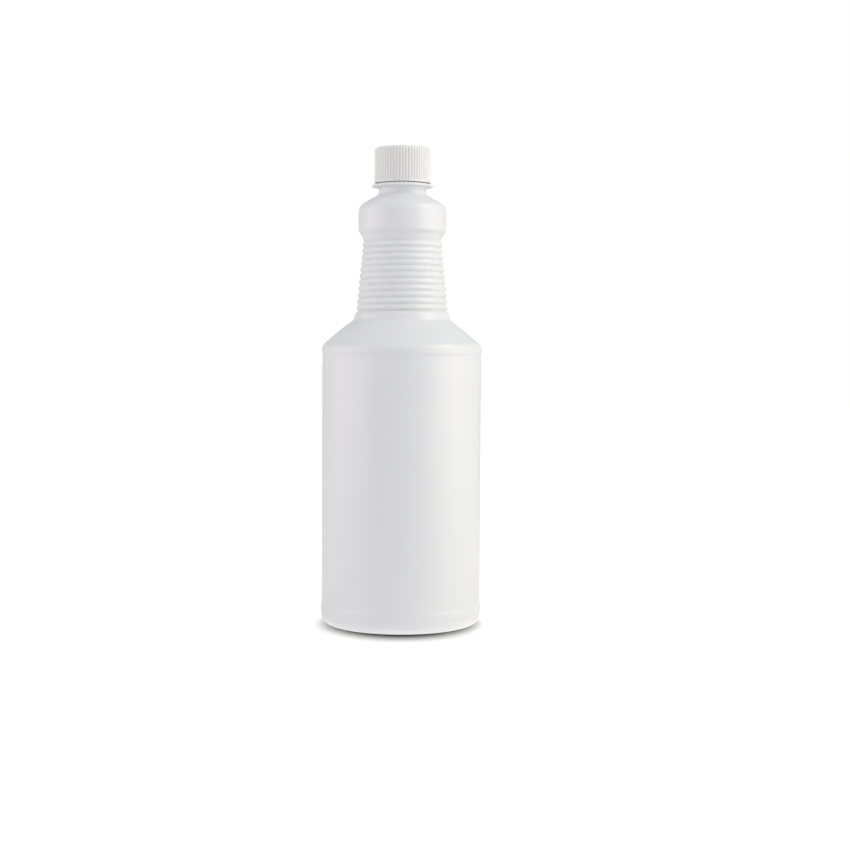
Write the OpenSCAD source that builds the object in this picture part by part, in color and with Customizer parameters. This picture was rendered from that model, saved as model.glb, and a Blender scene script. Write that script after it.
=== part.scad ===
// Quart bottle with a ribbed grip and a fluted screw cap
// Millimetres, +Z up. The bottle stands on z = 0 and its axis is the Z axis.

/* [Body] */
// Diameter of the straight wall that takes the label
body_d = 85.2; // [70:0.1:110]
// Height of the body, from the floor to the edge of the shoulder
body_h = 149; // [90:0.1:220]
// Thickness of the blown wall
wall = 1; // [0.6:0.1:1.5]
// Rounding of the heel
heel_r = 5; // [2:0.5:8]

/* [Foot] */
// Height of the middle of the foot bead above the floor
foot_bead_z = 8.8; // [8:0.1:30]
// Width of the foot bead along the wall
foot_bead_w = 6; // [4:0.1:7]
// How far the foot bead stands out of the wall
foot_bead_out = 0.31; // [0.1:0.01:1.5]
// Width of the flat ring that the bottle stands on
ring_w = 3.5; // [1.5:0.1:8]
// Height of the push-up at the rim of its flat
push_up = 3.4; // [1:0.1:8]
// Further rise of the push-up towards its centre
push_up_dome = 1.2; // [0.2:0.1:4]

/* [Shoulder] */
// How far the shoulder bumper stands out of the wall
bumper_out = 0.17; // [0.1:0.01:1.5]
// Width of the bumper along the wall
bumper_w = 3.7; // [3:0.1:8]
// Depth of the shallow groove under the bumper
groove_in = 0.2; // [0:0.01:0.6]
// Width of that groove along the wall
groove_w = 6; // [3:0.1:12]
// Height of the sloping shoulder
shoulder_h = 13.8; // [8:0.1:40]
// How far the shoulder bulges out of a straight slope
shoulder_bulge = 0.6; // [0.1:0.05:2]
// Rounding of the shoulder's outer edge
shoulder_r = 6; // [1:0.5:8]

/* [Collar] */
// Diameter of the collar where it meets the shoulder
collar_d = 51.9; // [51:0.1:60]
// Height of the collar
collar_h = 4.9; // [4:0.1:10]
// How far the collar narrows towards its top
collar_taper = 1; // [0:0.1:1]

/* [Grip] */
// Number of ribs round the grip
rib_count = 11; // [5:1:16]
// Distance from one rib to the next
rib_pitch = 3.356; // [2.6:0.001:5]
// How much wider than the mean the lowest rib is, and narrower the highest, as a share
rib_spread = 0.044; // [0:0.002:0.1]
// Depth of a rib before its edges are rounded
rib_depth = 1.75; // [0.4:0.05:1.8]
// Rounding of the rib crests
rib_crest_r = 1.5; // [0.2:0.05:1.5]
// Rounding of the valleys between ribs
rib_valley_r = 0.2; // [0.1:0.05:1]
// Mean diameter of the grip at its lower end
grip_low_d = 48.5; // [44:0.1:49]
// Mean diameter of the grip at its upper end
grip_high_d = 41.6; // [37:0.1:43]
// How far the grip bulges between its two ends
grip_bulge = 0.05; // [0:0.05:0.8]
// How much shallower the uppermost valley is than the others
top_valley_fill = 0.4; // [0:0.05:0.4]
// How much deeper the lowest valley is than the others
low_valley_cut = 0.2; // [0:0.05:0.4]

/* [Bulb] */
// Diameter of the bulb above the grip
bulb_d = 46.9; // [46:0.1:56]
// Height of the tapered foot of the bulb
bulb_foot_h = 3.8; // [2:0.1:8]
// Height of the undercut edge of the bulb
bulb_edge_h = 2; // [1.5:0.1:5]
// How far the edge of the bulb stands out of its foot
bulb_edge_out = 1.6; // [0.8:0.05:2]
// Height of the bulb, from its edge to the cone
bulb_h = 13.4; // [8:0.1:30]
// Height of the cone from the bulb up to the neck
cone_h = 6.2; // [4:0.1:15]
// Rounding between the bulb and the cone
cone_r = 5.5; // [1:0.5:6]

/* [Neck] */
// Outer diameter of the neck, and of the finish under its thread
finish_d = 25.3; // [24:0.1:26]
// Diameter of the bore through the neck
bore_d = 21; // [17:0.1:22]
// Height of the neck between the cone and the flange
neck_h = 3.6; // [2:0.1:12]
// Diameter of the support flange
flange_d = 32.6; // [31:0.1:40]
// Thickness of the support flange where it leaves the neck
flange_t = 1.95; // [1.5:0.05:4]
// Width of the slope round the flange's upper edge
flange_slope = 1.5; // [0.5:0.1:2]
// Height of that slope
flange_drop = 0.75; // [0.2:0.05:1]
// How far the flange's underside rises towards its rim
flange_rise = 0.5; // [0:0.05:0.6]
// Height of the finish, from the flange up to the mouth
finish_h = 17.1; // [14:0.05:24]

/* [Thread] */
// Diameter over the bottle's thread
thread_d = 27.4; // [26.6:0.1:28.4]
// Rise of the thread in one turn
thread_pitch = 4.233; // [3.8:0.001:5]
// Turns of the bottle's thread
thread_turns = 1.5; // [1:0.125:1.75]
// Width of the thread where it leaves the wall
thread_root_w = 2.1; // [1.4:0.1:2.2]
// Width of the thread at its crest
thread_crest_w = 0.9; // [0.5:0.1:1.2]
// Distance from the mouth down to the middle of the thread's upper end
thread_drop = 2.6; // [2:0.1:3.5]
// Radial clearance between each crest and the wall that it runs along
thread_gap = 0.3; // [0.2:0.05:0.5]
// Clearance between the flanks that bear on each other
flank_gap = 0.15; // [0.1:0.05:0.3]

/* [Cap] */
// Thickness of the cap's skirt, over its flutes
skirt_wall = 1.05; // [0.8:0.05:2]
// Thickness of the cap's top
cap_top = 1.2; // [0.8:0.1:3]
// Gap between the skirt and the support flange when the cap is tight
skirt_gap = 0.4; // [0.3:0.05:3]
// Number of flutes round the cap
flute_count = 60; // [30:1:90]
// Depth of a flute
flute_depth = 0.35; // [0.1:0.05:0.5]
// Height of the plain rim under the flutes
rim_h = 1; // [0.5:0.1:5]
// Rounding of the cap's top edge
cap_edge_r = 1.6; // [0.4:0.1:2]
// Width of the cap's thread where it leaves the skirt
cap_root_w = 1.6; // [1:0.1:1.8]
// Width of the cap's thread at its crest
cap_crest_w = 0.7; // [0.4:0.1:0.9]
// Turns of the cap's thread
cap_turns = 1.25; // [0.75:0.125:1.5]
// Width of the lead-in slope inside the skirt's lower edge
lead_in = 0.4; // [0.1:0.05:0.6]
// Height of the bead that holds the wad in the cap
wad_bead_h = 0.9; // [0.6:0.1:1.2]

/* [Liner] */
// Thickness of the sealing wad
liner_t = 1; // [0.5:0.1:2]
// Clearance between the wad and the skirt
liner_gap = 0.3; // [0.2:0.05:1]
// How far the cap's bead reaches under the wad
wad_hold = 0.2; // [0.1:0.05:0.3]

/* [Hidden] */
$fn = 96;
// Angle that one facet of a rounded corner turns through
arc_step = 13;
// The same on the inner wall, which is plainer
inner_arc_step = 24;
// Length of the small slopes beside bumper and groove
edge_run = 0.9;
// Length of the slopes on both sides of the foot bead
bead_run = 1.7;
// Rounding of beads, bumper and groove
bead_fillet = 1.5;
// Rounding of the shoulder between its two ends
bulge_r = 200;
// Rounding of small moulded edges
edge_r = 0.5;
// Rounding of the flange's thin rim
flange_edge_r = 0.3;
// Rounding where the cone meets the neck
neck_fillet = 2.2;
// Rounding where the bore opens into the cone
bore_foot_r = 1;
// Rounding of the bulb's lower edge, and under it
bulb_lip_r = 1.6;
bulb_foot_fillet = 2;
// Height and rounding of the slope round the collar's top
collar_slope_h = 1.1;
collar_top_r = 2;
// Rounding of the collar's foot
collar_foot_r = 2.5;
// Rounding round the flat of the push-up
push_up_r = 2;
// Rounding of the bead that holds the wad
wad_bead_r = 0.2;
// Facets of one turn of a thread
thread_steps = 36;
// Facets over which a thread's end runs out
run_out_steps = 3;
// Depth to which a thread is rooted in its wall
root_sink = 0.4;
// Share of a side that its two rounded corners may take
side_use = 0.98;
// Anything cut runs past the surface by this much
cut = 1;

body_r = body_d / 2;
finish_r = finish_d / 2;
bore_r = bore_d / 2;
flange_r = flange_d / 2;
collar_r = collar_d / 2;
bulb_r = bulb_d / 2;
bulb_foot_r = bulb_r - bulb_edge_out;
bumper_r = body_r + bumper_out;
groove_r = body_r - groove_in;
bead_r = body_r + foot_bead_out;
ring_r = body_r - heel_r - ring_w;

// Heights, each from the one below it
collar_z = body_h + shoulder_h;
grip_z = collar_z + collar_h;
bulb_z = grip_z + rib_count * rib_pitch;
cone_z = bulb_z + bulb_foot_h + bulb_edge_h + bulb_h;
neck_z = cone_z + cone_h;
flange_z = neck_z + neck_h;
finish_z = flange_z + flange_t;
mouth_z = finish_z + finish_h;
bumper_z = body_h - bumper_w;
bead_low_z = foot_bead_z - foot_bead_w / 2;
bead_high_z = foot_bead_z + foot_bead_w / 2;
push_up_z = push_up + push_up_dome;

// Bottle thread: height of the middle of its lower end
thread_r = thread_d / 2;
thread_z = mouth_z - thread_drop - thread_pitch * thread_turns;

// Cap and liner sit on the mouth, and the skirt ends above the flange
liner_z = mouth_z + liner_t;
skirt_z = finish_z + skirt_gap;
cap_h = liner_z + cap_top - skirt_z;
skirt_r = thread_r + thread_gap;
cap_r = skirt_r + skirt_wall;
cap_thread_r = finish_r + thread_gap;
liner_r = skirt_r - liner_gap;
flute_r = 0.4 * 2 * PI * cap_r / flute_count;

// The cap's thread hangs under the bottle's, flank to flank at their mid radius
thread_mid_r = (thread_r + cap_thread_r) / 2;
bottle_mid_w = width_at(thread_mid_r, finish_r, thread_r, thread_root_w, thread_crest_w);
cap_mid_w = width_at(thread_mid_r, skirt_r, cap_thread_r, cap_root_w, cap_crest_w);
thread_shift = (bottle_mid_w + cap_mid_w) / 2 + flank_gap;
cap_thread_back = 0.25;

function width_at(r, root_r, crest_r, root_w, crest_w) =
    root_w + (crest_w - root_w) * (r - root_r) / (crest_r - root_r);

// Outlines are lists of corners [radius, height, rounding], from the top down
function flat(c) = [c[0], c[1]];
function side(cs, i) = flat(cs[i + 1]) - flat(cs[i]);
function along(cs, i) = side(cs, i) / norm(side(cs, i));
function is_end(cs, i) = i == 0 || i == len(cs) - 1;
function turn(cs, i) =
    let (u = along(cs, i - 1), v = along(cs, i))
    atan2(u[0] * v[1] - u[1] * v[0], u * v);
// How far a rounding reaches along the sides at its corner
function reach(cs, i) = is_end(cs, i) ? 0 : cs[i][2] * tan(abs(turn(cs, i)) / 2);
function room(cs, i) = side_use * norm(side(cs, i)) / max(reach(cs, i) + reach(cs, i + 1), 0.001);
function fitted(cs, i) = reach(cs, i) * min(1, room(cs, i - 1), room(cs, i));
function turned(v, a) = [v[0] * cos(a) - v[1] * sin(a), v[0] * sin(a) + v[1] * cos(a)];
function arc(cs, i, step) =
    let (
        t = fitted(cs, i),
        a = turn(cs, i),
        u = along(cs, i - 1),
        r = t / tan(abs(a) / 2),
        to_centre = [-u[1], u[0]] * sign(a) * r,
        centre = flat(cs[i]) - u * t + to_centre,
        n = max(2, ceil(abs(a) / step))
    )
    [for (k = [0 : n]) centre - turned(to_centre, a * k / n)];
function rounded(cs, step = arc_step) = [
    for (i = [0 : len(cs) - 1])
        for (p = is_end(cs, i) || cs[i][2] == 0 ? [flat(cs[i])] : arc(cs, i, step)) p
];
// The same corners moved in by t, square to the wall
function inward(v) = [v[1], -v[0]];
function inset(cs, t) = [
    for (i = [0 : len(cs) - 1])
        let (
            n1 = inward(along(cs, max(i - 1, 0))),
            n2 = inward(along(cs, min(i, len(cs) - 2))),
            p = flat(cs[i]) + (n1 + n2) * t / (1 + n1 * n2),
            bends_in = !is_end(cs, i) && turn(cs, i) > 0
        )
        [p[0], p[1], bends_in ? cs[i][2] + t : max(cs[i][2] - t, 0)]
];
function backwards(ps) = [for (i = [len(ps) - 1 : -1 : 0]) ps[i]];

// Ribs of the grip: crest and valley corners from the top down
function grip_r(share) =
    (grip_high_d + (grip_low_d - grip_high_d) * share) / 2 + grip_bulge * 4 * share * (1 - share);
function rib_corner(half) =
    let (
        share = half / 2 / rib_count,
        crowding = rib_spread * share * (1 - share),
        is_crest = half % 2 == 1,
        fill = half == 0 ? top_valley_fill : half == 2 * rib_count ? -low_valley_cut : 0
    )
    [
        grip_r(share) + (is_crest ? rib_depth : -rib_depth) / 2 + fill,
        bulb_z - rib_count * rib_pitch * (share - crowding),
        is_crest ? rib_crest_r : rib_valley_r
    ];
rib_corners = [for (half = [0 : 2 * rib_count]) rib_corner(half)];

// Everything below the neck's cone, which the inner wall follows
below_cone = concat(
    [
        [bulb_r, cone_z, cone_r],
        [bulb_r, cone_z - bulb_h, bulb_lip_r],
        [bulb_foot_r, bulb_z + bulb_foot_h, bulb_foot_fillet]
    ],
    rib_corners,
    [
        [collar_r - collar_taper, grip_z - collar_slope_h, collar_top_r],
        [collar_r, collar_z, collar_foot_r],
        shoulder_middle(),
        [bumper_r, body_h, shoulder_r],
        [bumper_r, bumper_z, edge_r],
        [groove_r, bumper_z - edge_run, edge_r],
        [groove_r, bumper_z + edge_run - groove_w, bead_fillet],
        [body_r, bumper_z - groove_w, bead_fillet],
        [body_r, bead_high_z, bead_fillet],
        [bead_r, bead_high_z - bead_run, bead_fillet],
        [bead_r, bead_low_z + bead_run, bead_fillet],
        [body_r, bead_low_z, bead_fillet],
        [body_r, 0, heel_r],
        [ring_r, 0, edge_r],
        [ring_r - push_up, push_up, push_up_r]
    ]
);
function shoulder_middle() =
    let (
        top = [collar_r, collar_z],
        low = [bumper_r, body_h],
        slope = (low - top) / norm(low - top),
        p = (top + low) / 2 - inward(slope) * shoulder_bulge
    )
    [p[0], p[1], bulge_r];

outside = concat(
    [
        [bore_r, mouth_z, 0],
        [finish_r, mouth_z, edge_r],
        [finish_r, finish_z, edge_r],
        [flange_r - flange_slope, finish_z, edge_r],
        [flange_r, finish_z - flange_drop, flange_edge_r],
        [flange_r, flange_z + flange_rise, flange_edge_r],
        [finish_r, flange_z, edge_r],
        [finish_r, neck_z, neck_fillet]
    ],
    below_cone,
    [[0, push_up_z, 0]]
);

// The bore meets the inner cone where the cone's outer line, run on upwards, is a wall outside it
bore_foot_z = neck_z + (finish_r - bore_r - wall) * cone_h / (bulb_r - finish_r);
bore = [[bore_r + wall, mouth_z, 0], [bore_r + wall, bore_foot_z, bore_foot_r]];
inside = concat(
    inset(concat(bore, below_cone), wall),
    [[0, push_up_z + wall, 0]]
);

// Hollow of the cap: the seat of the wad, the bead under it, the skirt and its lead-in
wad_bead_in = liner_gap + wad_hold;
cap_hollow = [
    [0, liner_z, 0],
    [skirt_r, liner_z, 0],
    [skirt_r, mouth_z, 0],
    [skirt_r - wad_bead_in, mouth_z - wad_bead_h / 2, wad_bead_r],
    [skirt_r, mouth_z - wad_bead_h, 0],
    [skirt_r, skirt_z + lead_in, 0],
    [skirt_r + lead_in, skirt_z, 0],
    [skirt_r + lead_in, skirt_z - cut, 0],
    [0, skirt_z - cut, 0]
];

// Helical ridge on a wall, outwards or inwards, whose ends run out into the wall
module thread(turns, wall_r, crest_r, root_w, crest_w) {
    n = round(turns * thread_steps);
    outwards = crest_r > wall_r;
    sunk = outwards ? -root_sink : root_sink;
    start_r = wall_r + sunk / 2;
    function crest_at(i) =
        start_r + (crest_r - start_r) * min(1, i / run_out_steps, (n - i) / run_out_steps);
    function ring(i) =
        let (c = crest_at(i), ps = [
            [wall_r + sunk, -root_w / 2],
            [c, -crest_w / 2],
            [c, crest_w / 2],
            [wall_r + sunk, root_w / 2]
        ])
        outwards ? ps : backwards(ps);
    points = [
        for (i = [0 : n])
            let (a = 360 * i / thread_steps, z = thread_pitch * i / thread_steps)
            for (p = ring(i)) [p[0] * cos(a), p[0] * sin(a), p[1] + z]
    ];
    m = len(ring(0));
    sides = [
        for (i = [0 : n - 1])
            for (k = [0 : m - 1])
                let (a = m * i + k, b = m * i + (k + 1) % m)
                for (f = [[a, b, a + m], [b, b + m, a + m]]) f
    ];
    first = [for (k = [0 : m - 1]) k];
    last = [for (k = first) m * n + k];
    polyhedron(points, concat(sides, [backwards(first), last]));
}

module fluted_round() {
    difference() {
        circle(r = cap_r);
        for (i = [0 : flute_count - 1])
            rotate(i * 360 / flute_count)
                translate([cap_r + flute_r - flute_depth, 0])
                    circle(r = flute_r, $fn = 24);
    }
}

module bottle() {
    color("white") {
        rotate_extrude()
            polygon(concat(rounded(outside), backwards(rounded(inside, inner_arc_step))));
        translate([0, 0, thread_z])
            thread(thread_turns, finish_r, thread_r, thread_root_w, thread_crest_w);
    }
}

module cap() {
    color("whitesmoke") {
        difference() {
            translate([0, 0, skirt_z])
                union() {
                    intersection() {
                        linear_extrude(cap_h)
                            fluted_round();
                        rotate_extrude()
                            polygon(rounded([
                                [0, cap_h, 0],
                                [cap_r, cap_h, cap_edge_r],
                                [cap_r, 0, 0],
                                [0, 0, 0]
                            ]));
                    }
                    cylinder(r = cap_r, h = rim_h);
                }
            rotate_extrude()
                polygon(rounded(cap_hollow));
        }
        rotate(-360 * cap_thread_back)
            translate([0, 0, thread_z - thread_shift - thread_pitch * cap_thread_back])
                thread(cap_turns, skirt_r, cap_thread_r, cap_root_w, cap_crest_w);
    }
}

module liner() {
    color("gainsboro")
        translate([0, 0, mouth_z])
            cylinder(r = liner_r, h = liner_t);
}

bottle();
cap();
liner();
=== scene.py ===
# %% [markdown]
# A blow-moulded quart bottle with a ribbed grip and a fluted screw cap. The whole object is white
# plastic, so form and light do all the work: a white thing only reads well where its edges are
# rounded as the mould rounds them and where the light falls off gently round its sides. The frame
# gives the pieces at their real size, and this script dresses them without moving anything.

# %% Load the frame
import math

import bmesh
import bpy
import numpy as np
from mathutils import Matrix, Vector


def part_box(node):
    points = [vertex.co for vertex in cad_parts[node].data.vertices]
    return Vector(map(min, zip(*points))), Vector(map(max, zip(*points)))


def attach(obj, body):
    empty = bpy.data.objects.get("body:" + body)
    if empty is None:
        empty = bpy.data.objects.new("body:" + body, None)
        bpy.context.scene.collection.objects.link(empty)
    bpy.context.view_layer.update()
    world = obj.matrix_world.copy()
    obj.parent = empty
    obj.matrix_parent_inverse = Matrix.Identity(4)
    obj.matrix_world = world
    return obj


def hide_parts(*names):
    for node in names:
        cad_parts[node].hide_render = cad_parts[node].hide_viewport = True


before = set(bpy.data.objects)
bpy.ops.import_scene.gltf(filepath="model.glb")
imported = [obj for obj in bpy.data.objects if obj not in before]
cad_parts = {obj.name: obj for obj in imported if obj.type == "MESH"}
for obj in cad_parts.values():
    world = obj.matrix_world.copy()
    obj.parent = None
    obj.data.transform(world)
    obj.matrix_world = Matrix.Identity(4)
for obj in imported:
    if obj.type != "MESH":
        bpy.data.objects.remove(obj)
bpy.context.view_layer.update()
for node in ("bottle", "cap", "liner"):
    lowest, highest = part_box(node)
    print(node, "from", [round(v, 4) for v in lowest], "to", [round(v, 4) for v in highest], "m")

# %% [markdown]
# The camera comes first, because every later choice is judged through it. The photograph shows no
# converging verticals, which asks for a level camera and a frame that is shifted instead of tilted.
# A large shift would push the bottle out of the picture in other views, so a tilt of a degree and a
# half takes half of it, and the verticals still look straight. A long lens at 0.85 m gives the
# slight curves that rim and foot show. The bottle leans a third of a degree in the picture, which
# is a roll of the camera and not of the bottle.

# %% Camera
FRAME_PIXELS = 850
PIXELS_PER_METRE = 1859
CAMERA_DISTANCE = 0.85
HORIZON_ROW = 345
FLOOR_ROW = 623
AXIS_COLUMN = 401.85
CAMERA_ROLL = math.radians(-0.32)
CAMERA_TILT = math.radians(1.467)
SENSOR_WIDTH = 36

centre = FRAME_PIXELS / 2
eye_height = (FLOOR_ROW - HORIZON_ROW) / PIXELS_PER_METRE
tilt_pixels = PIXELS_PER_METRE * CAMERA_DISTANCE * math.tan(CAMERA_TILT)
camera_data = bpy.data.cameras.new("studio_camera")
camera_data.sensor_width = SENSOR_WIDTH
camera_data.lens = SENSOR_WIDTH * PIXELS_PER_METRE * CAMERA_DISTANCE / FRAME_PIXELS
camera_data.shift_y = (HORIZON_ROW - centre + tilt_pixels) / FRAME_PIXELS
camera = bpy.data.objects.new("studio_camera", camera_data)
camera.location = ((centre - AXIS_COLUMN) / PIXELS_PER_METRE, -CAMERA_DISTANCE, eye_height)
camera.rotation_euler = (math.radians(90) - CAMERA_TILT, CAMERA_ROLL, 0)
bpy.context.collection.objects.link(camera)
bpy.context.scene.camera = camera
print("lens", round(camera_data.lens, 1), "mm, eye height", round(eye_height, 4), "m")

# %% [markdown]
# Bottle, cap and liner are all turned forms, so one tool serves for the three of them: an outline of
# corners, with an arc at each, spun round the axis. Corners with a rounding are how a mould drawing
# gives a bottle, and they keep the outline short. Millimetres are easiest to read for it, and the
# mesh maker turns them into metres. Where two arcs ask for more of a side than it has, both shrink.

# %% Outlines from corners
MM = 0.001
SIDE_SHARE = 0.98
TINY = 1e-6


def rounded(corners, step=12):
    """The outline of (radius, height, rounding) corners, with arcs in steps of so many degrees."""
    points = np.array([corner[:2] for corner in corners], float)
    sides = np.diff(points, axis=0)
    lengths = np.linalg.norm(sides, axis=1)
    along = sides / lengths[:, None]
    turns = np.zeros(len(points))
    cross = along[:-1, 0] * along[1:, 1] - along[:-1, 1] * along[1:, 0]
    turns[1:-1] = np.arctan2(cross, (along[:-1] * along[1:]).sum(1))
    reach = np.array([corner[2] for corner in corners]) * np.tan(np.abs(turns) / 2)
    room = SIDE_SHARE * lengths / np.maximum(reach[:-1] + reach[1:], TINY)
    outline = [points[0]]
    for i in range(1, len(points) - 1):
        cut = reach[i] * min(1, room[i - 1], room[i])
        if cut < TINY:
            outline.append(points[i])
            continue
        before = along[i - 1]
        radius = math.copysign(cut / math.tan(abs(turns[i]) / 2), turns[i])
        x, y = -before[1] * radius, before[0] * radius
        arc_centre = points[i] - before * cut + (x, y)
        steps = max(2, math.ceil(math.degrees(abs(turns[i])) / step))
        for angle in np.linspace(0, turns[i], steps + 1):
            c, s = math.cos(angle), math.sin(angle)
            outline.append(arc_centre - (c * x - s * y, s * x + c * y))
    outline.append(points[-1])
    return outline


print("a square corner of 5 mm becomes", len(rounded([(0, 9, 0), (9, 9, 5), (9, 0, 0)])), "points")

# %% [markdown]
# A blown wall has about the same thickness everywhere, so its inner face comes from the same
# corners, moved inwards. A rounding grows by the wall where the outline bends in, and shrinks by it
# where the outline bends out, as two arcs with one centre do.

# %% Inner face of a wall


def inset(corners, wall):
    """The same corners moved inwards by the wall's thickness."""
    points = np.array([corner[:2] for corner in corners], float)
    sides = np.diff(points, axis=0)
    along = sides / np.linalg.norm(sides, axis=1)[:, None]
    inwards = np.stack([along[:, 1], -along[:, 0]], 1)
    moved = []
    for i, (r, z, rounding) in enumerate(corners):
        first, second = max(i - 1, 0), min(i, len(along) - 1)
        before, after = inwards[first], inwards[second]
        point = np.array([r, z]) + (before + after) * wall / (1 + before @ after)
        u, v = along[first], along[second]
        bends_in = u[0] * v[1] - u[1] * v[0] > 0
        moved.append((point[0], point[1], rounding + wall if bends_in else max(rounding - wall, 0)))
    return moved


print("a rounding of 5 mm shrinks to", inset([(0, 9, 0), (9, 9, 5), (9, 0, 0)], 1)[1][2], "mm inside")

# %% [markdown]
# Where an outline starts or ends on the axis, its ring is a bundle of points in one place. Welding
# them leaves a clean fan of triangles, and no face without area.

# %% Weld the poles
WELD = 1e-5


def weld_poles(mesh):
    """Joins the points that lie together on the axis, drops flat faces and turns the rest outwards."""
    bm = bmesh.new()
    bm.from_mesh(mesh)
    poles = [v for v in bm.verts if math.hypot(v.co.x, v.co.y) < TINY]
    bmesh.ops.remove_doubles(bm, verts=poles, dist=WELD)
    bmesh.ops.recalc_face_normals(bm, faces=bm.faces)
    bm.to_mesh(mesh)
    bm.free()


# %% [markdown]
# Blender's own Spin tool and Screw modifier could turn the outline, but threads, flutes and mould
# lines change the radius from angle to angle. So the points are laid out as a table of rows and
# angles, and a reshaping function may move them before they become a mesh.

# %% Spin an outline


def spin(name, outline, angles, reshape=None):
    """A mesh that turns the outline, in millimetres, round the axis. reshape may move its points."""
    outline = np.array(outline)
    radius = np.repeat(outline[:, :1], len(angles), axis=1)
    height = np.repeat(outline[:, 1:], len(angles), axis=1)
    if reshape:
        radius, height = reshape(radius, height, np.array(angles)[None, :])
    x, y = radius * np.cos(angles), radius * np.sin(angles)
    points = np.stack([x, y, height], axis=2).reshape(-1, 3) * MM
    around = len(angles)
    faces = []
    for row in range(len(outline) - 1):
        upper, lower = row * around, (row + 1) * around
        for k in range(around):
            after = (k + 1) % around
            faces.append((upper + k, lower + k, lower + after, upper + after))
    mesh = bpy.data.meshes.new(name)
    mesh.from_pydata(points.tolist(), [], faces)
    piece = bpy.data.objects.new(name, mesh)
    bpy.context.collection.objects.link(piece)
    weld_poles(mesh)
    mesh.shade_smooth()
    print(name, "has", len(mesh.polygons), "faces")
    return piece


# %% [markdown]
# The bottle is one blown piece, so it gets one closed skin: down the outside from the mouth, under
# the foot, and up again inside. Its heights stack from the floor, the way a drawing of a bottle
# gives them, and the radii are those of wall, collar, bulb, neck and flange.

# %% Sizes of the bottle, in millimetres
WALL = 1.0
BODY_R = 42.6
BODY_H = 149.0
HEEL_ROUNDING = 5.0
BEAD_R, BEAD_Z, BEAD_W, BEAD_RUN = 42.91, 8.8, 6.0, 1.7
RING_W, PUSH_UP, PUSH_UP_DOME, PUSH_UP_ROUNDING = 3.5, 3.4, 1.2, 2.0
BUMPER_R, BUMPER_W, GROOVE_R, GROOVE_W, EDGE_RUN = 42.77, 3.7, 42.4, 6.0, 0.9
SHOULDER_H, SHOULDER_BULGE, SHOULDER_ROUNDING = 13.8, 0.6, 6.0
BULGE_ROUNDING = 200
COLLAR_R, COLLAR_H, COLLAR_TAPER, COLLAR_SLOPE_H = 25.95, 4.9, 1.0, 1.1
COLLAR_TOP_ROUNDING, COLLAR_FOOT_ROUNDING = 2.0, 2.5
RIBS, RIB_PITCH, RIB_SPREAD, RIB_DEPTH = 11, 3.356, 0.044, 1.75
CREST_ROUNDING, VALLEY_ROUNDING = 1.5, 0.2
GRIP_LOW_R, GRIP_HIGH_R, GRIP_BULGE = 24.25, 20.8, 0.05
TOP_VALLEY_FILL, LOW_VALLEY_CUT = 0.4, 0.2
BULB_R, BULB_FOOT_H, BULB_EDGE_H, BULB_EDGE_OUT, BULB_H = 23.45, 3.8, 2.0, 1.6, 13.4
BULB_TOP_ROUNDING, BULB_EDGE_ROUNDING, BULB_FOOT_ROUNDING = 5.5, 1.6, 2.0
CONE_H, NECK_H, NECK_ROUNDING = 6.2, 3.6, 2.2
FLANGE_R, FLANGE_T, FLANGE_SLOPE, FLANGE_DROP, FLANGE_RISE = 16.3, 1.95, 1.5, 0.75, 0.5
FINISH_R, BORE_R, FINISH_H = 12.65, 10.5, 17.1
SOFT_EDGE, THIN_EDGE, BEAD_ROUNDING = 0.5, 0.3, 1.5

collar_z = BODY_H + SHOULDER_H
grip_z = collar_z + COLLAR_H
bulb_z = grip_z + RIBS * RIB_PITCH
cone_z = bulb_z + BULB_FOOT_H + BULB_EDGE_H + BULB_H
neck_z = cone_z + CONE_H
flange_z = neck_z + NECK_H
finish_z = flange_z + FLANGE_T
mouth_z = finish_z + FINISH_H

# %% [markdown]
# Eleven ribs make the grip. Each is a crest and a valley with a rounding, on a cone that widens
# downwards. The ribs stand a little wider apart towards the shoulder, as the picture shows.

# %% Ribs of the grip


def rib_corner(half):
    """Corner number half of the grip, from the top: odd ones are crests, even ones valleys."""
    share = half / 2 / RIBS
    height = bulb_z - RIBS * RIB_PITCH * (share - RIB_SPREAD * share * (1 - share))
    mean = GRIP_HIGH_R + (GRIP_LOW_R - GRIP_HIGH_R) * share + GRIP_BULGE * 4 * share * (1 - share)
    mean += TOP_VALLEY_FILL if half == 0 else 0
    mean -= LOW_VALLEY_CUT if half == 2 * RIBS else 0
    if half % 2 == 1:
        return (mean + RIB_DEPTH / 2, height, CREST_ROUNDING)
    return (mean - RIB_DEPTH / 2, height, VALLEY_ROUNDING)


rib_corners = [rib_corner(half) for half in range(2 * RIBS + 1)]
print("top crest at", [round(v, 2) for v in rib_corners[1][:2]], "mm")

# %% [markdown]
# The shoulder is nearly a straight cone, but a straight one looks dead. Its middle corner stands a
# little proud and has a very large rounding, which makes the faint bulge of the real shoulder.

# %% Corners below the neck
shoulder_top = np.array([COLLAR_R, collar_z])
shoulder_low = np.array([BUMPER_R, BODY_H])
slope = (shoulder_low - shoulder_top) / np.linalg.norm(shoulder_low - shoulder_top)
middle = (shoulder_top + shoulder_low) / 2 + np.array([-slope[1], slope[0]]) * SHOULDER_BULGE
bumper_z = BODY_H - BUMPER_W
bead_low, bead_high = BEAD_Z - BEAD_W / 2, BEAD_Z + BEAD_W / 2
ring_inner_r = BODY_R - HEEL_ROUNDING - RING_W

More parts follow.
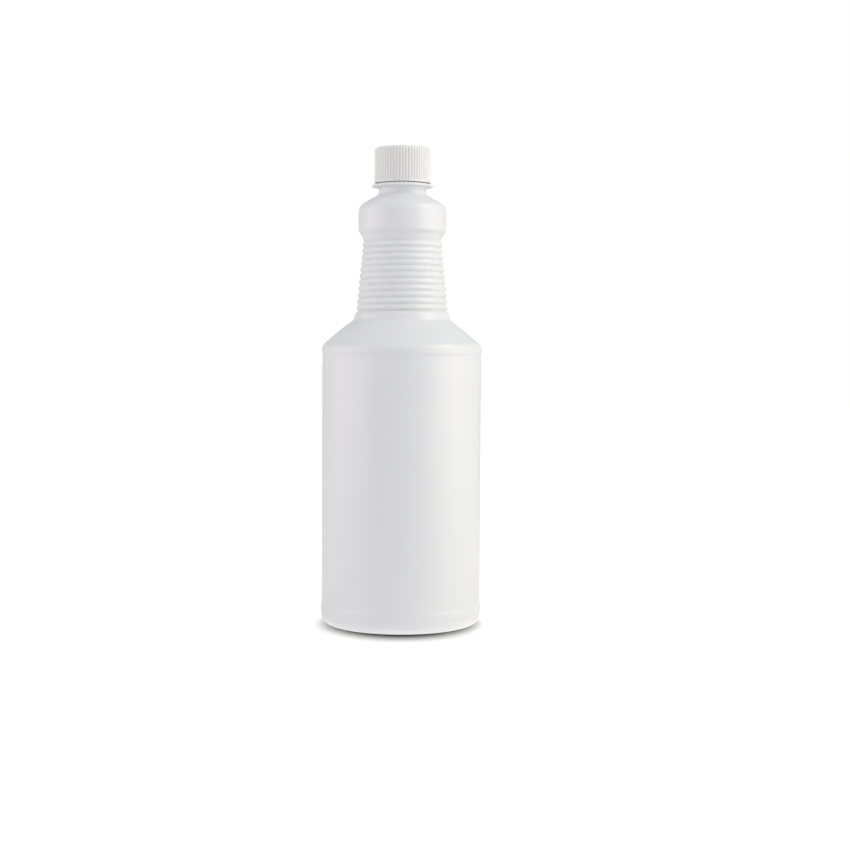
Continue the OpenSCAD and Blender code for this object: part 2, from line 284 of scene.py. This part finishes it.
below_cone = [
    (BULB_R, cone_z, BULB_TOP_ROUNDING),
    (BULB_R, cone_z - BULB_H, BULB_EDGE_ROUNDING),
    (BULB_R - BULB_EDGE_OUT, bulb_z + BULB_FOOT_H, BULB_FOOT_ROUNDING),
    *rib_corners,
    (COLLAR_R - COLLAR_TAPER, grip_z - COLLAR_SLOPE_H, COLLAR_TOP_ROUNDING),
    (COLLAR_R, collar_z, COLLAR_FOOT_ROUNDING),
    (middle[0], middle[1], BULGE_ROUNDING),
    (BUMPER_R, BODY_H, SHOULDER_ROUNDING),
    (BUMPER_R, bumper_z, SOFT_EDGE),
    (GROOVE_R, bumper_z - EDGE_RUN, SOFT_EDGE),
    (GROOVE_R, bumper_z + EDGE_RUN - GROOVE_W, BEAD_ROUNDING),
    (BODY_R, bumper_z - GROOVE_W, BEAD_ROUNDING),
    (BODY_R, bead_high, BEAD_ROUNDING),
    (BEAD_R, bead_high - BEAD_RUN, BEAD_ROUNDING),
    (BEAD_R, bead_low + BEAD_RUN, BEAD_ROUNDING),
    (BODY_R, bead_low, BEAD_ROUNDING),
    (BODY_R, 0, HEEL_ROUNDING),
    (ring_inner_r, 0, SOFT_EDGE),
    (ring_inner_r - PUSH_UP, PUSH_UP, PUSH_UP_ROUNDING),
]
print(len(below_cone), "corners from the bulb to the push-up of the base")

# %% [markdown]
# Above the bulb come the plain neck, the flange that carries the bottle through the filling line,
# and the finish, which is the bottle maker's word for the part that takes the cap. The bore is
# narrower than the neck needs, because the finish is thick and stiff, so the inner face has two
# corners of its own there.

# %% Outside and inside of the bottle
finish = [
    (BORE_R, mouth_z, 0),
    (FINISH_R, mouth_z, SOFT_EDGE),
    (FINISH_R, finish_z, SOFT_EDGE),
    (FLANGE_R - FLANGE_SLOPE, finish_z, SOFT_EDGE),
    (FLANGE_R, finish_z - FLANGE_DROP, THIN_EDGE),
    (FLANGE_R, flange_z + FLANGE_RISE, THIN_EDGE),
    (FINISH_R, flange_z, SOFT_EDGE),
    (FINISH_R, neck_z, NECK_ROUNDING),
]
outside = rounded(finish + below_cone + [(0, PUSH_UP + PUSH_UP_DOME, 0)])
bore_foot = neck_z + (FINISH_R - BORE_R - WALL) * CONE_H / (BULB_R - FINISH_R)
bore = [(BORE_R + WALL, mouth_z, 0), (BORE_R + WALL, bore_foot, 1)]
inside = rounded(inset(bore + below_cone, WALL), step=40)
inside.append(np.array([0, PUSH_UP + PUSH_UP_DOME + WALL]))
print(len(outside), "points outside,", len(inside), "inside")

# %% [markdown]
# The thread is part of the same skin. Instead of gluing a helix on, the rings between the flange and
# the mouth are cut fine, and each point moves outwards where the thread passes its height. That
# leaves no seam at the root, and the ends fade into the wall as a mould leaves them.

# %% Helical threads
PITCH, THREAD_R = 4.233, 13.7
THREAD_TURNS, THREAD_DROP = 1.5, 2.6
THREAD_ROOT_W, THREAD_CREST_W = 2.1, 0.9
THREAD_ROOM, THREAD_ROW = 1.1, 0.14
RUN_OUT = 1 / 12
thread_z = mouth_z - THREAD_DROP - PITCH * THREAD_TURNS


def smooth(t):
    """0 below 0, 1 above 1, and an even curve between."""
    t = np.clip(t, 0, 1)
    return t * t * (3 - 2 * t)


def thread_at(angle, height, start, turns, root_w, crest_w):
    """How much of the thread stands at each angle and height: 0 beside it, 1 on its crest."""
    part = np.zeros(np.broadcast_shapes(np.shape(angle), np.shape(height)))
    for lap in range(-1, math.ceil(turns) + 1):
        turn = angle / (2 * math.pi) + lap
        off = np.abs(height - start - PITCH * turn)
        flank = smooth((root_w / 2 - off) / ((root_w - crest_w) / 2))
        ends = smooth(np.minimum(turn, turns - turn) / RUN_OUT)
        part = np.maximum(part, flank * ends)
    return part


def finer(outline, low, high, step):
    """The outline with points no more than step apart where upright sides lie between two heights."""
    fine = [outline[0]]
    for a, b in zip(outline[:-1], outline[1:]):
        start, end = np.clip([a[1], b[1]], low, high)
        if abs(a[0] - b[0]) < TINY and abs(end - start) > step:
            n = math.ceil(abs(end - start) / step)
            heights = [start + (end - start) * i / n for i in range(n + 1)]
            new = [z for z in heights if min(abs(z - a[1]), abs(z - b[1])) > TINY]
            fine += [np.array([a[0], z]) for z in new]
        fine.append(b)
    return fine


thread_top = mouth_z - THREAD_DROP
outside_fine = finer(outside, thread_z - THREAD_ROOM, thread_top + THREAD_ROOM, THREAD_ROW)
print("rows of points outside:", len(outside), "and with the thread", len(outside_fine))

# %% [markdown]
# A blown bottle shows where the two halves of its mould met: a hair-thin line up both sides, and
# under the foot the bar where the tube of hot plastic was pinched shut. They are a tenth of a
# millimetre high, and they sit at the sides, out of the camera's way. The rings get extra points
# just there, so that so thin a ridge has something to stand on.

# %% Mould lines of the bottle
SIDES = 144
SEAM_H, SEAM_W = 0.07, 0.22
SEAM_OFFSETS = (0.12, 0.25, 0.45, 0.8)
SEAM_ABOVE_FLOOR, SEAM_BELOW_MOUTH, SEAM_SLACK = 1.5, 0.5, 0.2
PINCH_H, PINCH_W, PINCH_EDGE = 0.35, 0.5, 0.35
PINCH_REACH, PINCH_FADE, PINCH_MARGIN = 26, 2, 0.5
HAIR = 0.01

even = [2 * math.pi * (k + 0.5) / SIDES for k in range(SIDES)]
beside = [side * off / BODY_R for side in (-1, 1) for off in SEAM_OFFSETS] + [0.0]
bottle_angles = sorted(even + [seam + off for seam in (0, math.pi) for off in beside])


def bottle_shape(radius, height, angle):
    """Adds the thread, the mould line up the sides and the pinch-off bar under the foot."""
    outer = np.arange(len(radius))[:, None] < len(outside_fine)
    on_finish = outer & (height > finish_z + 1) & (radius > FINISH_R - HAIR)
    full_turn = angle % (2 * math.pi)
    ridge = thread_at(full_turn, height, thread_z, THREAD_TURNS, THREAD_ROOT_W, THREAD_CREST_W)
    radius = radius + np.where(on_finish, ridge * (THREAD_R - FINISH_R), 0)
    off_seam = np.abs(np.sin(angle)) * radius
    line = SEAM_H * np.exp(-((off_seam / SEAM_W) ** 2))
    between = (height > SEAM_ABOVE_FLOOR) & (height < mouth_z - SEAM_BELOW_MOUTH)
    on_wall = outer & between & (radius > FINISH_R - SEAM_SLACK)
    radius = radius + np.where(on_wall, line, 0)
    in_push_up = radius < ring_inner_r - PUSH_UP - PINCH_MARGIN
    on_base = outer & in_push_up & (height < PUSH_UP + PUSH_UP_DOME + 0.1)
    fade = smooth((PINCH_REACH - radius) / PINCH_FADE)
    bar = PINCH_H * smooth((PINCH_W - off_seam) / PINCH_EDGE) * fade
    return radius, height - np.where(on_base, bar, 0)


bottle = spin("bottle_shell", outside_fine + inside[::-1], bottle_angles, bottle_shape)
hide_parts("bottle")
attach(bottle, "bottle_body")

# %% [markdown]
# The cap is moulded hard plastic. A coin's edge of small scooped flutes runs down its skirt, for the
# fingers, and ends above a plain rim. Each flute is a shallow arc, so the angles are chosen flute
# by flute, closest together at the two edges where the light breaks.

# %% Sizes of the cap, in millimetres
LINER_T, CAP_TOP, SKIRT_GAP = 1.0, 1.2, 0.4
SKIRT_R, CAP_R, CAP_EDGE = 14.0, 15.05, 1.6
FLUTES, FLUTE_DEPTH, FLUTE_WIDTH, RIM_H = 60, 0.35, 0.4, 1.0
FLUTE_RUN_OUT = 0.45
FLUTE_END_ROWS = (0.45, 0.3, 0.15, 0.0)
STEPS_OF_A_FLUTE = (-0.5, -0.42, -0.365, -0.31, -0.22, -0.11, 0.0, 0.11, 0.22, 0.31, 0.365, 0.42)
CAP_THREAD_R, CAP_ROOT_W, CAP_CREST_W, CAP_TURNS, CAP_THREAD_ROW = 12.95, 1.6, 0.7, 1.25, 0.24
WAD_BEAD_IN, WAD_BEAD_H, LEAD_IN = 0.5, 0.9, 0.4
THREAD_SHIFT = 1.325
GATE_R, GATE_DEPTH = 1.6, 0.25

liner_z = mouth_z + LINER_T
cap_top_z = liner_z + CAP_TOP
skirt_z = finish_z + SKIRT_GAP
rim_z = skirt_z + RIM_H
flute_round = FLUTE_WIDTH * 2 * math.pi * CAP_R / FLUTES
flute_axis = CAP_R + flute_round - FLUTE_DEPTH
print("cap from", round(skirt_z, 2), "to", round(cap_top_z, 2), "mm")

# %% [markdown]
# The outline of the cap starts in the middle of its top, where a small round well holds the stub of
# the injection gate below the surface. It runs down the skirt, turns in over the lead-in slope and
# climbs inside, past the bead that keeps the sealing wad from falling out. The skirt gets rows where
# the flutes end, and its inner wall gets fine ones for the thread.

# %% Outline of the cap
cap_outside = rounded([
    (0, cap_top_z - GATE_DEPTH, 0),
    (GATE_R, cap_top_z - GATE_DEPTH, 0.1),
    (GATE_R, cap_top_z, 0.15),
    (CAP_R, cap_top_z, CAP_EDGE),
    (CAP_R, skirt_z, 0.15),
    (SKIRT_R + LEAD_IN, skirt_z, 0.1),
    (SKIRT_R, skirt_z + LEAD_IN, 0.1),
    (SKIRT_R, mouth_z - WAD_BEAD_H, 0.1),
], step=15)
cap_inside = rounded([
    (SKIRT_R, mouth_z - WAD_BEAD_H, 0),
    (SKIRT_R - WAD_BEAD_IN, mouth_z - WAD_BEAD_H / 2, 0.2),
    (SKIRT_R, mouth_z, 0),
    (SKIRT_R, liner_z, 0.2),
    (0, liner_z, 0),
], step=30)

flute_ends = [np.array([CAP_R, rim_z + up]) for up in FLUTE_END_ROWS]
wall_top = next(i for i, (r, z) in enumerate(cap_outside) if r == CAP_R)
below_wall = enumerate(cap_outside[wall_top + 1:], wall_top + 1)
skirt_edge = next(i for i, (r, z) in below_wall if r < CAP_R - 0.2)
outer_rows = cap_outside[:wall_top + 1] + flute_ends + cap_outside[wall_top + 1:skirt_edge]
inner_wall = cap_outside[skirt_edge:]
inner_rows = finer(inner_wall, skirt_z + LEAD_IN, mouth_z - WAD_BEAD_H, CAP_THREAD_ROW)
inner_rows += cap_inside[1:]
print(len(outer_rows), "rows outside the cap,", len(inner_rows), "inside")

# %% [markdown]
# The flutes are cut by a round cutter whose centre travels just outside the cap, so the depth of
# each point follows from its distance to that centre. The cap's thread starts a quarter turn from
# the bottle's and lies a named distance under it, so that the two flanks meet as the cap pulls down.

# %% The cap


def cap_shape(radius, height, angle):
    """Scoops the flutes into the skirt, and raises the thread on its inner wall."""
    pitch = 2 * math.pi / FLUTES
    off = (angle + pitch / 2) % pitch - pitch / 2
    across = flute_axis * np.sin(off)
    inside_flute = np.abs(across) < flute_round
    depth = np.sqrt(np.maximum(flute_round ** 2 - across ** 2, 0))
    scooped = np.where(inside_flute, flute_axis * np.cos(off) - depth, CAP_R)
    outer = np.arange(len(radius))[:, None] < len(outer_rows)
    run_out = smooth((height - rim_z) / FLUTE_RUN_OUT)
    scooped = CAP_R + (np.minimum(scooped, CAP_R) - CAP_R) * run_out
    radius = np.where(outer, np.minimum(radius, scooped), radius)
    start = thread_z - THREAD_SHIFT - PITCH / 4
    turned = (angle + math.pi / 2) % (2 * math.pi)
    ridge = thread_at(turned, height, start, CAP_TURNS, CAP_ROOT_W, CAP_CREST_W)
    inner = ~outer & (np.abs(radius - SKIRT_R) < HAIR) & (height < mouth_z)
    return radius - np.where(inner, ridge * (SKIRT_R - CAP_THREAD_R), 0), height


cap_angles = [2 * math.pi * (k + part) / FLUTES for k in range(FLUTES) for part in STEPS_OF_A_FLUTE]
cap = spin("screw_cap", outer_rows + inner_rows, cap_angles, cap_shape)
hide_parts("cap")
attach(cap, "cap_body")

# %% [markdown]
# Under the cap's top lies the sealing wad, a disc of foam that the mouth presses into. It only shows
# when the cap is off, so a disc with softened edges is all it takes.

# %% The sealing wad
LINER_R, LINER_EDGE, LINER_SIDES = 13.7, 0.2, 96
wad_outline = rounded([
    (0, liner_z, 0),
    (LINER_R, liner_z, LINER_EDGE),
    (LINER_R, mouth_z, LINER_EDGE),
    (0, mouth_z, 0),
], step=30)
wad = spin("sealing_wad", wad_outline, [2 * math.pi * k / LINER_SIDES for k in range(LINER_SIDES)])
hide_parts("liner")
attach(wad, "liner_body")

# %% [markdown]
# Colours are easiest to think of as the 0 to 255 values of a picture, but Blender's sockets take
# linear light. The helper turns one into the other with the curve that screens use.

# %% Colours


def linear(*srgb):
    """A colour given as 0 to 255 values, as Blender's linear numbers."""
    shares = [v / 255 for v in srgb]
    return tuple(v / 12.92 if v < 0.04045 else ((v + 0.055) / 1.055) ** 2.4 for v in shares) + (1,)


print("a white of 228 is", round(linear(228)[0], 3), "in linear light")

# %% [markdown]
# No moulded surface is perfectly even. Blowing leaves a faint swell in the wall, and the
# sand-blasted mould leaves a fine grain. Both are bump maps with real sizes and depths in metres,
# too small to model, and the second one is laid over the first.

# %% Swell and grain


def noise(tree, point, size, detail=2.0):
    """A noise texture whose features are about that size in metres."""
    node = tree.nodes.new("ShaderNodeTexNoise")
    node.inputs["Scale"].default_value = 1 / size
    node.inputs["Detail"].default_value = detail
    tree.links.new(point, node.inputs["Vector"])
    return node.outputs["Fac"]


def bump(tree, height, depth, normal=None):
    """A bump of that depth in metres, on top of another one if it is given."""
    node = tree.nodes.new("ShaderNodeBump")
    node.inputs["Strength"].default_value = 1
    node.inputs["Distance"].default_value = depth
    tree.links.new(height, node.inputs["Height"])
    if normal:
        tree.links.new(normal, node.inputs["Normal"])
    return node.outputs["Normal"]


# %% [markdown]
# Polyethylene is the milky, slightly waxy plastic of most household bottles. Light goes a little way
# in, so edges glow softly, which is what Subsurface does. The sheen varies a little from patch to
# patch, because the mould is never equally smooth. All three pieces are made of one recipe.

# %% A moulded plastic
PLASTIC_IOR = 1.52
GLOW_REACH, GLOW_DEPTH = (1.0, 0.95, 0.85), 0.002
SHEEN_PATCH, SHEEN_DETAIL, SHEEN_SPREAD = 0.004, 3, 0.03


def plastic(name, colour, roughness, glow, swell, swell_depth, grain, grain_depth):
    """A moulded plastic with a faint swell, a fine grain and a roughness that varies a little."""
    material = bpy.data.materials.new(name)
    material.use_nodes = True
    tree = material.node_tree
    shader = tree.nodes["Principled BSDF"]
    point = tree.nodes.new("ShaderNodeTexCoord").outputs["Object"]
    shader.inputs["Base Color"].default_value = colour
    shader.inputs["IOR"].default_value = PLASTIC_IOR
    shader.inputs["Subsurface Weight"].default_value = glow
    shader.inputs["Subsurface Radius"].default_value = GLOW_REACH
    shader.inputs["Subsurface Scale"].default_value = GLOW_DEPTH
    sheen = tree.nodes.new("ShaderNodeMapRange")
    sheen.inputs["To Min"].default_value = roughness - SHEEN_SPREAD
    sheen.inputs["To Max"].default_value = roughness + SHEEN_SPREAD
    tree.links.new(noise(tree, point, SHEEN_PATCH, SHEEN_DETAIL), sheen.inputs["Value"])
    tree.links.new(sheen.outputs["Result"], shader.inputs["Roughness"])
    wavy = bump(tree, noise(tree, point, swell), swell_depth)
    tree.links.new(bump(tree, noise(tree, point, grain), grain_depth, wavy), shader.inputs["Normal"])
    return material


# %% [markdown]
# The bottle is a slightly cool white with the softest walls. The cap is a harder, warmer plastic,
# with less glow and a truer surface. The wad is matt foam, with cells in place of the swell.

# %% Finishes of the three pieces
bottle.data.materials.append(plastic(
    "blown_polyethylene", linear(228, 229, 231), roughness=0.31, glow=0.25,
    swell=0.016, swell_depth=0.00006, grain=0.0004, grain_depth=0.000004))
cap.data.materials.append(plastic(
    "moulded_polypropylene", linear(228, 228, 227), roughness=0.32, glow=0.15,
    swell=0.01, swell_depth=0.00001, grain=0.0003, grain_depth=0.000003))
wad.data.materials.append(plastic(
    "liner_foam", linear(232, 232, 228), roughness=0.85, glow=0.1,
    swell=0.0012, swell_depth=0.0001, grain=0.0003, grain_depth=0.00004))
print("finishes:", [piece.data.materials[0].name for piece in (bottle, cap, wad)])

# %% [markdown]
# The floor is one large plane of white paper. It is part of the stage and not of the object, so it
# rides on nothing. Its painted shadow and its glow change with the distance from the foot, and the
# helper measures that distance on the floor itself, so that it stays in place from every side.

# %% Floor
FLOOR_SIZE = 6.0

bpy.ops.mesh.primitive_plane_add(size=FLOOR_SIZE)
floor = bpy.context.object
floor.name = "studio_floor"


def faded(tree, centre, start, end, low=0, high=1):
    """A value that goes smoothly from low to high between two distances from a point of the floor."""
    place = tree.nodes.new("ShaderNodeNewGeometry").outputs["Position"]
    far = tree.nodes.new("ShaderNodeVectorMath")
    far.operation = "DISTANCE"
    far.inputs[1].default_value = centre
    tree.links.new(place, far.inputs[0])
    ramp = tree.nodes.new("ShaderNodeMapRange")
    ramp.interpolation_type = "SMOOTHSTEP"
    for socket, value in zip(("From Min", "From Max", "To Min", "To Max"), (start, end, low, high)):
        ramp.inputs[socket].default_value = value
    tree.links.new(far.outputs["Value"], ramp.inputs["Value"])
    return ramp.outputs["Result"]


print("floor of", FLOOR_SIZE, "m")

# %% [markdown]
# The photograph is a cut-out look: pure white all round, with a dark line where the foot meets the
# ground. The floor is a real one, lit by the same lamps. It adds enough glow of its own to come out
# white, a little more of it far from the lamps. Towards the foot a painted shadow darkens all of it
# for the camera, set by distance on the floor and not by light: one fade all round the foot and a
# deeper one in front, and their product is what shows.

# %% Floor seen by the camera
PAPER = (0.8, 0.8, 0.8, 1)
FLOOR_GLOW, FAR_FLOOR_GLOW = 0.52, 0.62
LIT_PATCH, OPEN_FLOOR = 0.1, 0.4
# Painted shadow on the floor: two fades by distance, one all round the foot and a deeper one in front.
ROUND_PAINTED_SHADOW = {"centre": (0, 0, 0), "start": 0.030, "end": 0.050}
FRONT_PAINTED_SHADOW = {"centre": (0.0005, -0.0199, 0), "start": 0.0138, "end": 0.0516}

paper = bpy.data.materials.new("white_paper")
paper.use_nodes = True
tree = paper.node_tree
tree.nodes.remove(tree.nodes["Principled BSDF"])

matt = tree.nodes.new("ShaderNodeBsdfDiffuse")
matt.inputs["Color"].default_value = PAPER
white = tree.nodes.new("ShaderNodeEmission")
away = faded(tree, (0, 0, 0), LIT_PATCH, OPEN_FLOOR, FLOOR_GLOW, FAR_FLOOR_GLOW)
tree.links.new(away, white.inputs["Strength"])
open_floor = tree.nodes.new("ShaderNodeAddShader")
tree.links.new(matt.outputs[0], open_floor.inputs[0])
tree.links.new(white.outputs[0], open_floor.inputs[1])

# The product of the two fades is the painted shadow that darkens the floor the camera sees.
painted_shadow = tree.nodes.new("ShaderNodeMath")
painted_shadow.operation = "MULTIPLY"
tree.links.new(faded(tree, **ROUND_PAINTED_SHADOW), painted_shadow.inputs[0])
tree.links.new(faded(tree, **FRONT_PAINTED_SHADOW), painted_shadow.inputs[1])
shadow_painted_floor = tree.nodes.new("ShaderNodeMixShader")
tree.links.new(painted_shadow.outputs[0], shadow_painted_floor.inputs["Fac"])
tree.links.new(open_floor.outputs[0], shadow_painted_floor.inputs[2])
print("the shade ends", ROUND_PAINTED_SHADOW["end"], "m from the axis")

# %% [markdown]
# The heel is bright down to its very edge, so the ground close to it throws light up. Rays that don't
# come from the camera meet the bare floor, which glows faintly, and more so near the foot.

# %% Floor that lights the heel
FOOT_GLOW, FAR_GLOW = 0.4, 0.08
FOOT_GLOW_INNER, FOOT_GLOW_OUTER = 0.042, 0.05
FOOT_GLOW_COLOUR = (1, 0.98, 0.95, 1)

bounce = tree.nodes.new("ShaderNodeEmission")
bounce.inputs["Color"].default_value = FOOT_GLOW_COLOUR
near_foot = faded(tree, (0, 0, 0), FOOT_GLOW_INNER, FOOT_GLOW_OUTER, FOOT_GLOW, FAR_GLOW)
tree.links.new(near_foot, bounce.inputs["Strength"])
bare_floor = tree.nodes.new("ShaderNodeAddShader")
tree.links.new(matt.outputs[0], bare_floor.inputs[0])
tree.links.new(bounce.outputs[0], bare_floor.inputs[1])
seen = tree.nodes.new("ShaderNodeLightPath")
either = tree.nodes.new("ShaderNodeMixShader")
tree.links.new(seen.outputs["Is Camera Ray"], either.inputs["Fac"])
tree.links.new(bare_floor.outputs[0], either.inputs[1])
tree.links.new(shadow_painted_floor.outputs[0], either.inputs[2])
tree.links.new(either.outputs[0], tree.nodes["Material Output"].inputs["Surface"])
floor.data.materials.append(paper)
print("floor material with", len(tree.nodes), "nodes")

# %% [markdown]
# A white bottle on white needs shading more than light. The room gives a low, even and slightly cool
# light to everything but the camera, which sees plain white behind the bottle. Nothing here is metal
# or glass, so no mirror image of that white is needed, and with it the edges would wash out.

# %% Room light
ROOM_LIGHT = (0.53, 0.55, 0.61, 1)
ROOM_SEEN = (1, 1, 1, 1)

world = bpy.data.worlds.new("white_room")
bpy.context.scene.world = world
world.use_nodes = True
tree = world.node_tree
seen = tree.nodes.new("ShaderNodeLightPath")
mixed = tree.nodes.new("ShaderNodeMixRGB")
mixed.inputs["Color1"].default_value = ROOM_LIGHT
mixed.inputs["Color2"].default_value = ROOM_SEEN
tree.links.new(seen.outputs["Is Camera Ray"], mixed.inputs["Fac"])
tree.links.new(mixed.outputs["Color"], tree.nodes["Background"].inputs["Color"])
print("room light", ROOM_LIGHT[:3])

# %% [markdown]
# Four warm lamps shape the bottle. A large softbox stands low on each side, a little in front of the
# bottle, and gives the broad sheen that runs up the walls. A smaller lamp hangs above each of them
# and lights cone, ribs and shoulder from above. The right side is the brighter one, and the darkest
# strip runs a little left of the middle, as in the picture. Strength is given as radiance, which
# doesn't change with the lamp's size, and azimuth 0 is the camera's side, 90 the right.

# %% Lamps
LAMP_DISTANCE = 1.2
LAMP_AIM = np.array([0, 0, 0.12])


def softbox(name, azimuth, elevation, width, height, radiance, colour):
    """A flat oblong lamp that looks at the middle of the bottle."""
    lamp = bpy.data.lights.new(name, "AREA")
    lamp.shape = "RECTANGLE"
    lamp.size, lamp.size_y = width, height
    lamp.energy = radiance * math.pi * width * height
    lamp.color = colour
    piece = bpy.data.objects.new(name, lamp)
    a, e = math.radians(azimuth), math.radians(elevation)
    away = np.array([math.sin(a) * math.cos(e), -math.cos(a) * math.cos(e), math.sin(e)])
    piece.location = tuple(LAMP_AIM + away * LAMP_DISTANCE)
    piece.rotation_euler = (math.radians(90 - elevation), 0, math.radians(azimuth))
    bpy.context.collection.objects.link(piece)
    print(name, round(lamp.energy, 2), "W")


softbox("key_lamp", 75, 42, 0.6, 0.4, 5.9, (1, 0.94, 0.77))
softbox("right_softbox", 72, 12, 1.2, 0.7, 1.77, (1, 0.95, 0.83))
softbox("left_softbox", -75, 12, 1.5, 0.7, 1.35, (1, 0.87, 0.76))
softbox("left_fill", -75, 42, 0.6, 0.4, 1.6, (1, 1, 0.82))

# %% [markdown]
# The view transform stays Standard, so that the plastics keep the colours given above.

# %% Finish
bpy.context.scene.view_settings.view_transform = "Standard"
